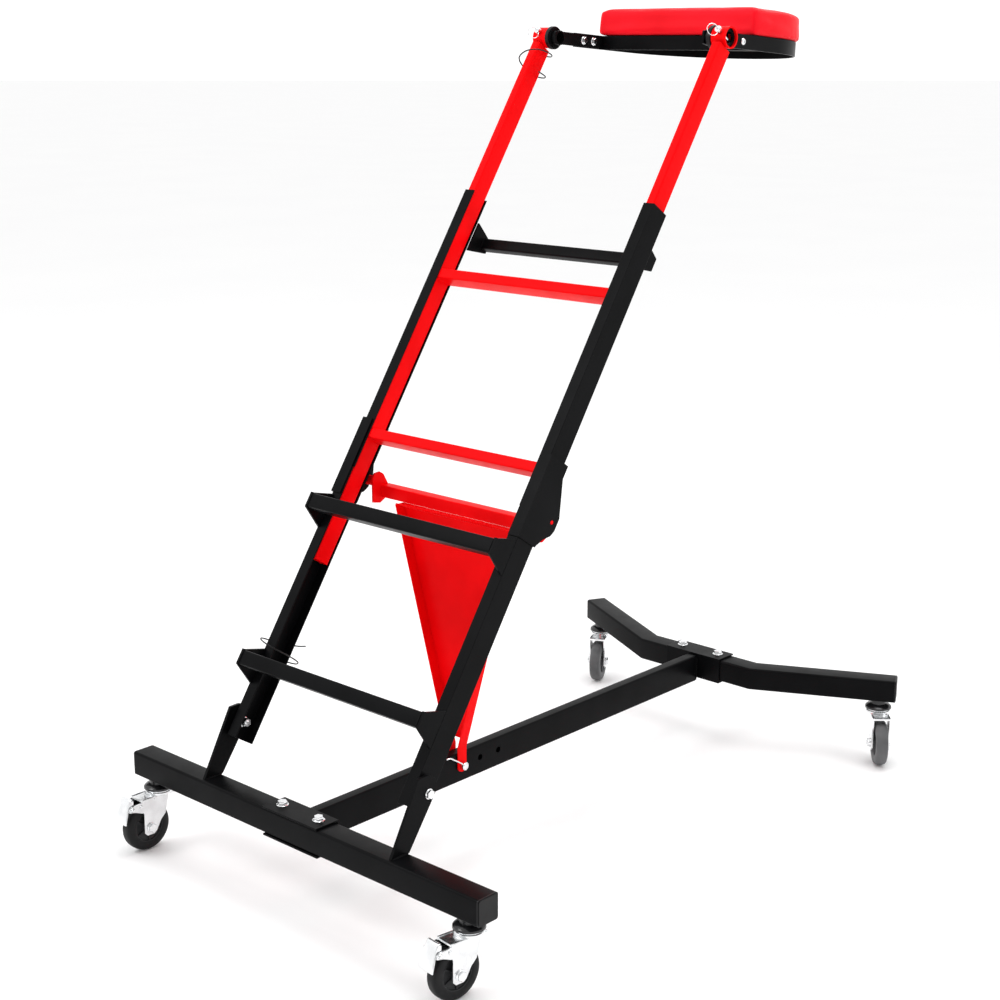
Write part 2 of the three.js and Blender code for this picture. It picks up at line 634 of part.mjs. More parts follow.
// ---- casters ------------------------------------------------------------
// Drawn with the swivel axis on Z and the wheel trailing towards +Y, then turned to its heading.
function fork(brake) {
  const race = turned([
    [0, 97], [21, 97], [22.5, 98.5], [22.5, 101.5], [20.5, 103], [20.5, 104.5], [23.5, 105], [23, 108],
    [19, 111.5], [14, 113], [14, BAR_Z - GAP], [0, BAR_Z - GAP],
  ], 28);
  const bridge = box(-FORK_OUT, -21, 94.5, FORK_OUT, 43, FORK_TOP);
  const sides = bothSides(polygon([
    [-8, FORK_TOP], [-4.5, 84], [0.3, 65], [9.7, 55.5], [18, 40.5], [23, 36.5], [36, 36.5], [41, 41.5],
    [40.6, 73.6], [43, 80], [43, FORK_TOP],
  ]), FORK_IN, FORK_OUT);
  const axle = layX(turned([
    [0, -19.5], [5.5, -19.5], [6.5, -18], [6.5, -15.5], [4.6, -15.5],
    [4.6, 15.5], [7.5, 15.5], [7.5, 20], [0, 20],
  ], 18), 0, TRAIL, WHEEL_Z);
  const body = union(race, bridge, ...sides, axle);
  return brake ? union(body, ...pedalLugs()) : body;
}

// Ears that carry the pedal, with the rod it turns on.
function pedalLugs() {
  const ears = bothSides(polygon([
    [40, 94.5], [63, 92.8], [67, 90.5], [67.5, 84.5], [57, 82.5], [44, 77], [40, 77],
  ]), FORK_IN, FORK_OUT);
  const pin = layX(turned([
    [0, -17.5], [3.6, -17.5], [4.2, -15.5], [2.9, -15.5], [2.9, 15.5], [4.2, 15.5], [3.6, 17.5], [0, 17.5],
  ], 14), 0, PEDAL_Y, PEDAL_Z);
  return [...ears, pin];
}

function bothSides(shape, x0, x1) {
  return [alongX(shape, x0, x1, 8), alongX(shape, -x1, -x0, 8)];
}

function wheel() {
  const w = WHEEL_W / 2;
  const sides = 30;
  const r = WHEEL_R / Math.cos(Math.PI / sides);
  const half = [
    [4.95, w], [10, w], [11, w - 1], [12, w - 4], [23.5, w - 4], [25, w - 1], [28, w - 0.4],
    [r - 4.5, w - 0.8], [r - 1.4, w - 2.8], [r, w - 6],
  ];
  const other = half.map(([a, b]) => [a, -b]).reverse();
  return layX(turned([...half, ...other].reverse(), sides), 0, TRAIL, WHEEL_Z);
}

// Foot lever of a locking caster: a curved plate on two cheeks, wider below the lugs.
function pedal() {
  const plate = alongX(polygon([
    [56, 103.2], [62, 104.6], [65.2, 101], [68, 94.5], [71.5, 86], [74.8, 77.5], [76.6, 70], [75.6, 64.5],
    [72.6, 63.2], [72.2, 65.2], [74.2, 66], [74.4, 70], [72.8, 76.8], [69.6, 85.2], [66, 93.8],
    [63.4, 100.2], [61.2, 102.4], [56.4, 101.2],
  ]), -13, 13);
  const lip = alongX(polygon([
    [72.3, 84], [74.8, 77.5], [76.6, 70], [75.6, 64.5], [72.6, 63.2], [72.2, 65.2], [74.2, 66],
    [74.4, 70], [72.8, 76.8], [70.1, 84],
  ]), -16.5, 16.5);
  const cheek = polygon([
    [57, 102], [56.5, 90], [58, 84.8], [62, 82.6], [68, 83.6], [70.6, 86.2], [65.4, 98.6], [62, 103.4],
  ]);
  cheek.holes.push(circlePath(PEDAL_Y, PEDAL_Z, 3.3));
  return union(plate, lip, ...bothSides(cheek, 11, 13));
}

function caster(name, x, y, tyre, brake) {
  const place = (g) => g.rotateZ(HEADING[name]).translate(x, y, 0);
  add(`${name}_caster_fork`, place(fork(brake)), CHROME);
  add(`${name}_caster_wheel`, place(wheel()), tyre);
  if (brake) add(`${name}_caster_pedal`, place(pedal()), CHROME);
}

function casters() {
  caster("rear_right", REAR_CASTER_X, 0, TYRE, true);
  caster("rear_left", -REAR_CASTER_X, 0, TYRE, true);
  caster("front_right", FRONT_CASTER_X, FRONT_CASTER_Y, GREY_TYRE, false);
  caster("front_left", -FRONT_CASTER_X, FRONT_CASTER_Y, GREY_TYRE, false);
}

// ---- wire lanyards ------------------------------------------------------
// Loose coils of thin wire hung round the left rails.
function lanyards() {
  const r = 1.2;
  const coil = (points) => wire(points.map(([x, b, s]) => leanPoint(x, b, s)), r, 8, 46);
  add("upper_lanyard", coil([
    [-200, 26, 1243], [-180, 24, 1240], [-168, 10, 1236], [-170, -20, 1226], [-185, -30, 1216],
    [-202, -22, 1208], [-206, 2, 1204], [-196, 24, 1202], [-178, 26, 1200], [-166, 16, 1197],
    [-164, -4, 1193],
  ]), WIRE);
  add("lower_lanyard", coil([
    [-172, 34, 168], [-190, 38, 165], [-208, 26, 160], [-212, 0, 156], [-206, -28, 152], [-188, -40, 147],
    [-170, -34, 143], [-162, -6, 142], [-164, 24, 140], [-178, 36, 137], [-196, 34, 135],
  ]), WIRE);
}

rearBar();
beam();
saddle("rear_saddle", 0, 1);
saddle("front_saddle", FRONT_Y, -1);
frontBar();
leg();
foldBolt();
ladderRails();
splice();
steps();
rearCrossbar();
innerSection();
deck();
deckPins();
strutPanel();
strutHead();
strutPin();
casters();
lanyards();
saddleBolts("rear_saddle_bolt", 2);
saddleBolts("front_saddle_bolt", FRONT_Y);

export default root;
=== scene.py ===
"""Looks of a topside mechanics creeper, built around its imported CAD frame. Metres, floor at z = 0."""
import math

import bpy
import bmesh
from mathutils import Matrix, Vector, noise
from mathutils.bvhtree import BVHTree


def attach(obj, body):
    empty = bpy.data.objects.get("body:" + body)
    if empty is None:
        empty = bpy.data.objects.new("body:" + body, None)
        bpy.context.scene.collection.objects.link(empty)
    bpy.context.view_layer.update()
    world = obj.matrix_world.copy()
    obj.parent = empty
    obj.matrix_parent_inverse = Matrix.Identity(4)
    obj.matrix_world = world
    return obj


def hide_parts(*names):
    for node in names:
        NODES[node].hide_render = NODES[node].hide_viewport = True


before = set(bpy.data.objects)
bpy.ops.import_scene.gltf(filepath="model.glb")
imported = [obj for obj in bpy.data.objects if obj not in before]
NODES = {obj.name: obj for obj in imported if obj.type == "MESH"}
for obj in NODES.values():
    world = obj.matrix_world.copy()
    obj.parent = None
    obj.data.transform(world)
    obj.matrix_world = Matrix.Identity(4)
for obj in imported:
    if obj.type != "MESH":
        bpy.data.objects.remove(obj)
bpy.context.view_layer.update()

# ---- the part's own dimensions, in millimetres -------------------------------
ORIGIN_Y = 520.33
FLOOR_Z = 8.0
LEAN = 0.59
LADDER_Y, LADDER_Z = 47.4, 217.7
DECK_TILT = 0.07
DECK_B, DECK_S = -2.0, 1260.0
FRAME_X, FRAME_Y0, FRAME_YC, FRAME_H = 158.0, 115.0, 190.0, 23.0
PAD_GROW, PAD_T = 7.0, 45.0
PIN_X = 185.0
RING_R = 9.2
RING_HANG = {"right": 0.72, "left": 1.16}
RING_TURN = -0.55
PAD_VOXEL = 0.005
BAR_TOP = 161.0
FRONT_Y = 984.0
TRAIL = 28.0
WHEEL_Z = 48.0
# Turns local x, y, z to y, z, x, so that a prism's outline lies in a caster's side view.
SIDEWAYS = Matrix(((0, 0, 1, 0), (1, 0, 0, 0), (0, 1, 0, 0), (0, 0, 0, 1)))
# Each caster's place over the floor and the way it trails.
CASTERS = {
    "rear_right": (343.5, 0.0, math.pi - 0.13),
    "rear_left": (-343.5, 0.0, math.pi - 0.02),
    "front_right": (320.5, 1087.0, math.pi + 0.71),
    "front_left": (-320.5, 1087.0, math.pi + 0.46),
}


def drawn(x, y, z):
    """A point of the part's drawing, in the row frame."""
    return Vector((x, y - ORIGIN_Y, z - FLOOR_Z)) / 1000


def lean_point(x, b, s):
    """A point of the ladder: b to its back, s up its rails."""
    return drawn(
        x,
        LADDER_Y + b * math.cos(LEAN) + s * math.sin(LEAN),
        LADDER_Z - b * math.sin(LEAN) + s * math.cos(LEAN),
    )


MM = Matrix.Scale(0.001, 4)
LADDER_M = Matrix.Translation(lean_point(0, 0, 0)) @ Matrix.Rotation(-LEAN, 4, "X") @ MM
DECK_M = Matrix.Translation(lean_point(0, DECK_B, DECK_S)) @ Matrix.Rotation(-DECK_TILT, 4, "X") @ MM
BASE_M = Matrix.Translation(drawn(0, 0, 0)) @ MM


def caster_frame(name):
    x, y, heading = CASTERS[name]
    return Matrix.Translation(drawn(x, y, 0)) @ Matrix.Rotation(heading, 4, "Z") @ MM


# ---- camera ------------------------------------------------------------------
CAMERA_EYE = (1.8472, -2.09013, 1.2509)
CAMERA_AIM = (0.0110, -0.08903, 0.5513)


def make_camera():
    data = bpy.data.cameras.new("camera")
    data.lens = 63.89
    data.sensor_width = 36
    data.shift_x = -0.0038
    data.shift_y = -0.0007
    data.clip_start = 0.05
    data.clip_end = 60
    cam = bpy.data.objects.new("camera", data)
    bpy.context.scene.collection.objects.link(cam)
    eye = Vector(CAMERA_EYE)
    aim = Vector(CAMERA_AIM)
    cam.location = eye
    cam.rotation_euler = (aim - eye).to_track_quat("-Z", "Y").to_euler()
    bpy.context.scene.camera = cam


make_camera()


# ---- materials ---------------------------------------------------------------
class Graph:
    """Small helper for building a material's nodes."""

    def __init__(self, name):
        self.mat = bpy.data.materials.new(name)
        self.mat.use_nodes = True
        self.tree = self.mat.node_tree
        self.tree.nodes.clear()
        self.out = self.node("ShaderNodeOutputMaterial")
        self.bsdf = self.node("ShaderNodeBsdfPrincipled")
        self.link(self.bsdf.outputs["BSDF"], self.out.inputs["Surface"])
        self.coord = self.node("ShaderNodeTexCoord").outputs["Object"]

    def node(self, kind, **props):
        n = self.tree.nodes.new(kind)
        for key, value in props.items():
            setattr(n, key, value)
        return n

    def link(self, a, b):
        self.tree.links.new(a, b)

    def noise(self, scale, detail=3.0, rough=0.5, stretch=None):
        n = self.node("ShaderNodeTexNoise")
        n.inputs["Scale"].default_value = scale
        n.inputs["Detail"].default_value = detail
        n.inputs["Roughness"].default_value = rough
        src = self.coord
        if stretch:
            m = self.node("ShaderNodeMapping")
            m.inputs["Scale"].default_value = stretch
            self.link(src, m.inputs["Vector"])
            src = m.outputs["Vector"]
        self.link(src, n.inputs["Vector"])
        return n.outputs["Fac"]

    def cells(self, scale):
        n = self.node("ShaderNodeTexVoronoi")
        n.inputs["Scale"].default_value = scale
        self.link(self.coord, n.inputs["Vector"])
        return n.outputs["Distance"]

    def remap(self, src, lo, hi, a=0.35, b=0.65):
        n = self.node("ShaderNodeMapRange")
        n.inputs["From Min"].default_value = a
        n.inputs["From Max"].default_value = b
        n.inputs["To Min"].default_value = lo
        n.inputs["To Max"].default_value = hi
        self.link(src, n.inputs["Value"])
        return n.outputs["Result"]

    def mix(self, fac, a, b):
        n = self.node("ShaderNodeMix", data_type="RGBA")
        self.link(fac, n.inputs[0])
        for value, socket in ((a, n.inputs[6]), (b, n.inputs[7])):
            if isinstance(value, tuple):
                socket.default_value = (*value, 1)
            else:
                self.link(value, socket)
        return n.outputs[2]

    def bump(self, height, distance, strength=1.0, normal=None):
        n = self.node("ShaderNodeBump")
        n.inputs["Strength"].default_value = strength
        n.inputs["Distance"].default_value = distance
        self.link(height, n.inputs["Height"])
        if normal is not None:
            self.link(normal, n.inputs["Normal"])
        return n.outputs["Normal"]

    def finish(self, color, rough, normal=None, **values):
        b = self.bsdf
        for socket, value in (("Base Color", color), ("Roughness", rough), ("Normal", normal)):
            if value is None:
                continue
            if isinstance(value, (int, float)):
                b.inputs[socket].default_value = value
            elif isinstance(value, tuple):
                b.inputs[socket].default_value = (*value, 1)
            else:
                self.link(value, b.inputs[socket])
        for key, value in values.items():
            socket = b.inputs[key.replace("_", " ")]
            if isinstance(value, (int, float, tuple)):
                socket.default_value = value
            else:
                self.link(value, socket)
        return self.mat


def powder_coat(name, dark, light, rough, specular):
    """Gloss powder coat: faint orange peel, slight unevenness of tone and gloss."""
    g = Graph(name)
    tone = g.remap(g.noise(14, 4), 0, 1)
    peel = g.bump(g.noise(620, 2), 0.00006, 0.55)
    soft = g.bump(g.noise(70, 2), 0.0002, 0.25, peel)
    gloss = g.remap(g.noise(35, 5, 0.6), rough - 0.035, rough + 0.045)
    return g.finish(g.mix(tone, dark, light), gloss, soft, Specular_IOR_Level=specular)


def plated(name, base, rough):
    """Bright zinc plate with fine drawn lines and a cloudy gloss."""
    g = Graph(name)
    cloud = g.remap(g.noise(60, 4), 0, 1)
    lines = g.bump(g.noise(400, 2, 0.5, (1, 6, 1)), 0.00004, 0.5)
    gloss = g.remap(g.noise(90, 3, 0.5), rough - 0.03, rough + 0.03)
    tint = tuple(c * 0.93 for c in base)
    return g.finish(g.mix(cloud, tint, base), gloss, lines, Metallic=1.0)


def moulded(name, dark, light, rough, grain=900, depth=0.00008, specular=0.2):
    """Moulded plastic or rubber with a fine spark-eroded grain."""
    g = Graph(name)
    tone = g.remap(g.noise(25, 4), 0, 1)
    normal = g.bump(g.noise(grain, 3), depth, 0.6)
    gloss = g.remap(g.noise(45, 4), rough - 0.06, rough + 0.06)
    return g.finish(g.mix(tone, dark, light), gloss, normal, Specular_IOR_Level=specular)


def vinyl(name, dark, light):
    """Leather-grain vinyl: shallow irregular cells, soft rumples and a slight sheen."""
    g = Graph(name)
    tone = g.remap(g.noise(7, 4), 0, 1)
    cells = g.remap(g.cells(760), 0, 1, 0.05, 0.75)
    grain = g.bump(cells, 0.00016, 0.5)
    pores = g.bump(g.noise(2300, 2), 0.00004, 0.5, grain)
    rumple = g.bump(g.noise(26, 2, 0.45), 0.0008, 0.16, pores)
    gloss = g.remap(g.noise(30, 4), 0.40, 0.52)
    return g.finish(
        g.mix(tone, dark, light), gloss, rumple,
        Sheen_Weight=0.02, Sheen_Roughness=0.4, Specular_IOR_Level=0.06,
    )


def board(name):
    """Black-stained plywood."""
    g = Graph(name)
    fibre = g.noise(60, 5, 0.6, (1, 14, 14))
    normal = g.bump(fibre, 0.0002, 0.5)
    color = g.mix(g.remap(fibre, 0, 1), (0.012, 0.011, 0.010), (0.032, 0.028, 0.025))
    return g.finish(color, 0.6, normal)


def stage_floor(name):
    g = Graph(name)
    tone = g.remap(g.noise(1.3, 3), 0, 1)
    return g.finish(g.mix(tone, (0.955, 0.955, 0.957), (0.965, 0.965, 0.965)), 0.9, Specular_IOR_Level=0.1)


M = {
    "black_powder_coat": powder_coat(
        "black_powder_coat", (0.0024, 0.0025, 0.0028), (0.0040, 0.0041, 0.0046), 0.33, 0.05
    ),
    "red_powder_coat": powder_coat(
        "red_powder_coat", (0.82, 0.0012, 0.0026), (0.93, 0.0018, 0.0038), 0.35, 0.035
    ),
    "zinc_plate": plated("zinc_plate", (0.86, 0.87, 0.88), 0.19),
    "black_plastic": moulded("black_plastic", (0.0045, 0.0045, 0.005), (0.0075, 0.0075, 0.008), 0.40),
    "black_tread": moulded(
        "black_tread", (0.0045, 0.0045, 0.005), (0.0085, 0.0085, 0.009), 0.5, 700, 0.00012
    ),
    "grey_tread": moulded("grey_tread", (0.085, 0.087, 0.09), (0.125, 0.127, 0.13), 0.5, 700, 0.00012),
    "hub_plastic": moulded("hub_plastic", (0.018, 0.0185, 0.0195), (0.028, 0.0285, 0.03), 0.45),
    "red_vinyl": vinyl("red_vinyl", (0.76, 0.0040, 0.0115), (0.86, 0.0060, 0.0165)),
    "black_board": board("black_board"),
    "coated_wire": moulded("coated_wire", (0.012, 0.012, 0.012), (0.022, 0.022, 0.022), 0.4),
}


# ---- geometry helpers --------------------------------------------------------
def smooth_group():
    """Geometry nodes: weld, shade smooth, and keep edges sharper than 35 degrees."""
    g = bpy.data.node_groups.new("weld_and_smooth", "GeometryNodeTree")
    g.interface.new_socket("Geometry", in_out="INPUT", socket_type="NodeSocketGeometry")
    g.interface.new_socket("Geometry", in_out="OUTPUT", socket_type="NodeSocketGeometry")
    gin, gout = g.nodes.new("NodeGroupInput"), g.nodes.new("NodeGroupOutput")
    drop = g.nodes.new("GeometryNodeRemoveAttribute")
    drop.inputs["Name"].default_value = "custom_normal"
    weld = g.nodes.new("GeometryNodeMergeByDistance")
    weld.inputs["Distance"].default_value = 0.000004
    faces = g.nodes.new("GeometryNodeSetShadeSmooth")
    faces.domain = "FACE"
    angle = g.nodes.new("GeometryNodeInputMeshEdgeAngle")
    sharp = g.nodes.new("FunctionNodeCompare")
    sharp.data_type = "FLOAT"
    sharp.operation = "GREATER_THAN"
    sharp.inputs["B"].default_value = math.radians(35)
    edges = g.nodes.new("GeometryNodeSetShadeSmooth")
    edges.domain = "EDGE"
    edges.inputs["Shade Smooth"].default_value = False
    link = g.links.new
    link(gin.outputs[0], drop.inputs["Geometry"])
    link(drop.outputs["Geometry"], weld.inputs["Geometry"])
    link(weld.outputs["Geometry"], faces.inputs["Geometry"])
    link(faces.outputs["Geometry"], edges.inputs["Geometry"])
    link(angle.outputs["Unsigned Angle"], sharp.inputs["A"])
    link(sharp.outputs["Result"], edges.inputs["Selection"])
    link(edges.outputs["Geometry"], gout.inputs[0])
    return g


SMOOTH = smooth_group()


def smoothed(obj):
    obj.modifiers.new("weld_and_smooth", "NODES").node_group = SMOOTH


def bevelled(obj, width, segments=2):
    mod = obj.modifiers.new("bevel", "BEVEL")
    mod.width = width
    mod.segments = segments
    mod.limit_method = "ANGLE"
    mod.angle_limit = math.radians(40)
    mod.harden_normals = False


def set_material(obj, material):
    obj.data.materials.clear()
    obj.data.materials.append(material)


def piece(name, bm, material, body, matrix=None, bevel=0.0, segments=2):
    """A new mesh piece of millimetre geometry, placed by matrix, riding on body."""
    bmesh.ops.recalc_face_normals(bm, faces=bm.faces)
    if matrix is not None:
        bm.transform(matrix)
    mesh = bpy.data.meshes.new(name)
    bm.to_mesh(mesh)
    bm.free()
    obj = bpy.data.objects.new(name, mesh)
    bpy.context.scene.collection.objects.link(obj)
    set_material(obj, material)
    if bevel:
        bevelled(obj, bevel / 1000, segments)
    smoothed(obj)
    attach(obj, body)
    return obj


def add_lathe(bm, profile, axis_matrix=None, segments=40):
    """Adds a solid turned about Z. profile holds (radius, z), from axis to axis or as a closed loop."""
    m = axis_matrix or Matrix.Identity(4)
    rings = []
    for r, z in profile:
        if r < 1e-6:
            rings.append([bm.verts.new(m @ Vector((0, 0, z)))])
        else:
            rings.append([
                bm.verts.new(m @ Vector((r * math.cos(a), r * math.sin(a), z)))
                for a in (2 * math.pi * i / segments for i in range(segments))
            ])
    closed = profile[0][0] > 1e-6
    pairs = list(zip(rings, rings[1:])) + ([(rings[-1], rings[0])] if closed else [])
    for a, b in pairs:
        for i in range(segments):
            j = (i + 1) % segments
            if len(a) == 1 and len(b) == 1:
                continue
            if len(a) == 1:
                bm.faces.new((a[0], b[i], b[j]))
            elif len(b) == 1:
                bm.faces.new((a[i], b[0], a[j]))
            else:
                bm.faces.new((a[i], b[i], b[j], a[j]))


def add_prism(bm, outline, z0, z1, matrix=None):
    """Adds a prism: outline in x, y and its height along z."""
    m = matrix or Matrix.Identity(4)
    low = [bm.verts.new(m @ Vector((x, y, z0))) for x, y in outline]
    high = [bm.verts.new(m @ Vector((x, y, z1))) for x, y in outline]
    n = len(outline)
    for i in range(n):
        j = (i + 1) % n
        bm.faces.new((low[i], low[j], high[j], high[i]))
    bm.faces.new(list(reversed(low)))
    bm.faces.new(high)


def hexagon(flat):
    r = flat / math.sqrt(3)
    return [(r * math.cos(math.pi * k / 3), r * math.sin(math.pi * k / 3)) for k in range(6)]


def add_hex_head(bm, matrix, flat, height, flange):
    """Flanged hexagon head standing on z = 0, with a chamfered top."""
    add_lathe(bm, [(0, 0), (flange, 0), (flange, 0.9), (flange * 0.86, 1.7), (0, 1.7)], matrix, 36)
    r = flat / math.sqrt(3)
    outline = hexagon(flat)
    small = [(x * 0.9, y * 0.9) for x, y in outline]
    low = [bm.verts.new(matrix @ Vector((x, y, 1.5))) for x, y in outline]
    mid = [bm.verts.new(matrix @ Vector((x, y, height - 0.14 * r))) for x, y in outline]
    top = [bm.verts.new(matrix @ Vector((x, y, height))) for x, y in small]
    for a, b in ((low, mid), (mid, top)):
        for i in range(6):
            j = (i + 1) % 6
            bm.faces.new((a[i], a[j], b[j], b[i]))
    bm.faces.new(list(reversed(low)))
    bm.faces.new(top)


def along_x(x, y, z, flip=False):
    """Matrix that turns +Z to +X (or -X) at a point, in millimetres."""
    return Matrix.Translation((x, y, z)) @ Matrix.Rotation(-math.pi / 2 if flip else math.pi / 2, 4, "Y")


def bevel_curve(name, points, radius, material, body, cyclic=False):
    """A round wire through points given in the row frame."""
    data = bpy.data.curves.new(name, "CURVE")
    data.dimensions = "3D"
    data.bevel_depth = radius
    data.bevel_resolution = 3
    data.use_fill_caps = True
    spline = data.splines.new("POLY")
    spline.points.add(len(points) - 1)
    for p, q in zip(spline.points, points):
        p.co = (*q, 1)
    spline.use_cyclic_u = cyclic
    spline.use_smooth = True
    obj = bpy.data.objects.new(name, data)
    bpy.context.scene.collection.objects.link(obj)
    data.materials.append(material)
    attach(obj, body)
    return obj


def catmull_rom(points, per_segment):
    """Centripetal Catmull-Rom curve through points, as the CAD's own curves are."""
    pts = [points[0] * 2 - points[1], *points, points[-1] * 2 - points[-2]]
    out = []
    for k in range(1, len(pts) - 2):
        p0, p1, p2, p3 = pts[k - 1:k + 3]
        t = [0.0]
        for a, b in ((p0, p1), (p1, p2), (p2, p3)):
            t.append(t[-1] + math.sqrt((b - a).length))
        for i in range(per_segment):
            u = t[1] + (t[2] - t[1]) * i / per_segment
            a1 = p0.lerp(p1, (u - t[0]) / (t[1] - t[0]))
            a2 = p1.lerp(p2, (u - t[1]) / (t[2] - t[1]))
            a3 = p2.lerp(p3, (u - t[2]) / (t[3] - t[2]))
            b1 = a1.lerp(a2, (u - t[0]) / (t[2] - t[0]))
            b2 = a2.lerp(a3, (u - t[1]) / (t[3] - t[1]))
            out.append(b1.lerp(b2, (u - t[1]) / (t[2] - t[1])))
    out.append(points[-1].copy())
    return out


# ---- wire lanyards -----------------------------------------------------------
LANYARDS = {
    "upper_lanyard": ("extension", [
        (-200, 26, 1243), (-180, 24, 1240), (-168, 10, 1236), (-170, -20, 1226), (-185, -30, 1216),
        (-202, -22, 1208), (-206, 2, 1204), (-196, 24, 1202), (-178, 26, 1200), (-166, 16, 1197),
        (-164, -4, 1193)]),
    "lower_lanyard": ("ladder", [
        (-172, 34, 168), (-190, 38, 165), (-208, 26, 160), (-212, 0, 156), (-206, -28, 152), (-188, -40, 147),
        (-170, -34, 143), (-162, -6, 142), (-164, 24, 140), (-178, 36, 137), (-196, 34, 135)]),
}
LANYARD_R = 0.0011


def lanyards():
    for name, (body, points) in LANYARDS.items():
        path = catmull_rom([lean_point(*p) for p in points], 3)
        obj = bevel_curve(name + "_cord", path, LANYARD_R, M["coated_wire"], body)
        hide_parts(name)


lanyards()


# ---- CAD pieces that stay ----------------------------------------------------
def split_material(name, lower, upper, height):
    """One CAD solid in two finishes that meet at a height: lower below, upper above."""
    g = Graph(name)
    sep = g.node("ShaderNodeSeparateXYZ")
    g.link(g.coord, sep.inputs["Vector"])
    above = g.node("ShaderNodeMath", operation="GREATER_THAN")
    above.inputs[1].default_value = height
    g.link(sep.outputs["Z"], above.inputs[0])
    fac = above.outputs["Value"]
    metal = g.node("ShaderNodeMath", operation="SUBTRACT")
    metal.inputs[0].default_value = 1
    g.link(fac, metal.inputs[1])
    cloud = g.mix(g.remap(g.noise(60, 4), 0, 1), tuple(c * 0.86 for c in lower), lower)
    gloss = g.remap(g.noise(90, 5, 0.6), 0.14, 0.28)
    normal = g.bump(g.noise(400, 2, 0.5, (1, 6, 1)), 0.00004, 0.5)
    return g.finish(g.mix(fac, cloud, upper), gloss, normal, Metallic=metal.outputs["Value"])


BOSS_Z = (104.7 - FLOOR_Z) / 1000
FORK_MATERIAL = split_material("zinc_and_black_boss", (0.86, 0.87, 0.88), (0.010, 0.010, 0.011), BOSS_Z)

RED_NODES = ("inner_rail", "rung", "deck_sleeve", "strut_panel", "strut_head")
BEVELLED = ("leg_", "rear_saddle", "front_saddle", "low_step_bracket", "mid_step_bracket", "crossbar_gusset",
            "lower_rail", "upper_rail", "strut_panel", "deck_frame")


def node_material(name):
    if "fork" in name:
        return FORK_MATERIAL
    if "cap" in name:
        return M["black_plastic"]
    if any(key in name for key in ("bolt", "pin", "pedal")):
        return M["zinc_plate"]
    if "board" in name:
        return M["black_board"]
    if any(key in name for key in RED_NODES):
        return M["red_powder_coat"]
    return M["black_powder_coat"]


def cad_nodes():
    for name, obj in NODES.items():
        set_material(obj, node_material(name))
        if name.startswith(BEVELLED):
            smoothed(obj)
            bevelled(obj, 0.0006)
        smoothed(obj)


cad_nodes()


# ---- fasteners ---------------------------------------------------------------
def fold_bolts():
    """Pivot bolts of the ladder: flanged head outside the leg, washer, and nut inside the rail."""
    centre_s = 23.5
    p = lean_point(0, 0, centre_s)
    y, z = p.y * 1000 + ORIGIN_Y, p.z * 1000 + FLOOR_Z
    for side, sign in (("right", 1), ("left", -1)):
        bm = bmesh.new()
        flip = sign < 0
        add_hex_head(bm, along_x(sign * 208.8, y, z, flip), 12, 5.6, 7.8)
        add_lathe(bm, [(0, -15), (4.6, -15), (4.6, 0.4), (0, 0.4)], along_x(sign * 208.6, y, z, flip), 28)
        add_lathe(bm, [(4.6, 0), (10.8, 0), (10.8, 4.6), (4.6, 4.6)], along_x(sign * 198.5, y, z, flip), 40)
        add_hex_head(bm, along_x(sign * 195.6, y, z, not flip), 13, 8.2, 8.6)
        end = [(0, 0), (4.0, 0), (4.0, 10.2), (3.4, 11), (0, 11)]
        add_lathe(bm, end, along_x(sign * 195.6, y, z, not flip), 28)
        obj = piece(f"fold_bolt_{side}_hardware", bm, M["zinc_plate"], "base", BASE_M)
        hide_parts(f"fold_bolt_{side}")


def saddle_bolts():
    """Flanged bolt heads on top of each saddle."""
    for row, y in (("rear", 2.0), ("front", FRONT_Y)):
        for side, sign in (("right", 1), ("left", -1)):
            bm = bmesh.new()
            m = Matrix.Translation((sign * 40, y, BAR_TOP + 3.6)) @ Matrix.Rotation(0.4 * sign, 4, "Z")
            add_hex_head(bm, m, 13, 6.6, 9.4)
            obj = piece(f"{row}_saddle_bolt_{side}_head", bm, M["zinc_plate"], "base", BASE_M)
            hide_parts(f"{row}_saddle_bolt_{side}")


def arm_bolts():
    """Button-headed bolts that hold each arm to the deck frame, with nuts inside it."""
    for side, sign in (("right", 1), ("left", -1)):
        flip = sign < 0
        for k, y in enumerate((60.0, 86.0)):
            bm = bmesh.new()
            head = [(0, 0), (5.4, 0), (5.6, 1.0), (5.0, 2.4), (3.4, 3.4), (2.2, 3.6), (1.9, 2.2), (0, 2.2)]
            add_lathe(bm, head, along_x(sign * 158.1, y, 0, flip), 32)
            add_hex_head(bm, along_x(sign * 150.3, y, 0, not flip), 10, 5.2, 6.6)
            piece(f"deck_arm_bolt_{side}_{k + 1}", bm, M["zinc_plate"], "deck", DECK_M)


def collars():
    """Black plastic bushes between each sleeve and its arm."""
    for side, sign in (("right", 1), ("left", -1)):
        bm = bmesh.new()
        ring = [(16.1, 0), (18.2, 0), (18.8, 0.7), (18.8, 6.3), (18.2, 7), (16.1, 7)]
        add_lathe(bm, ring, along_x(sign * 162.4, 0, 0, sign < 0), 48)
        piece(f"deck_collar_{side}", bm, M["black_plastic"], "deck", DECK_M)


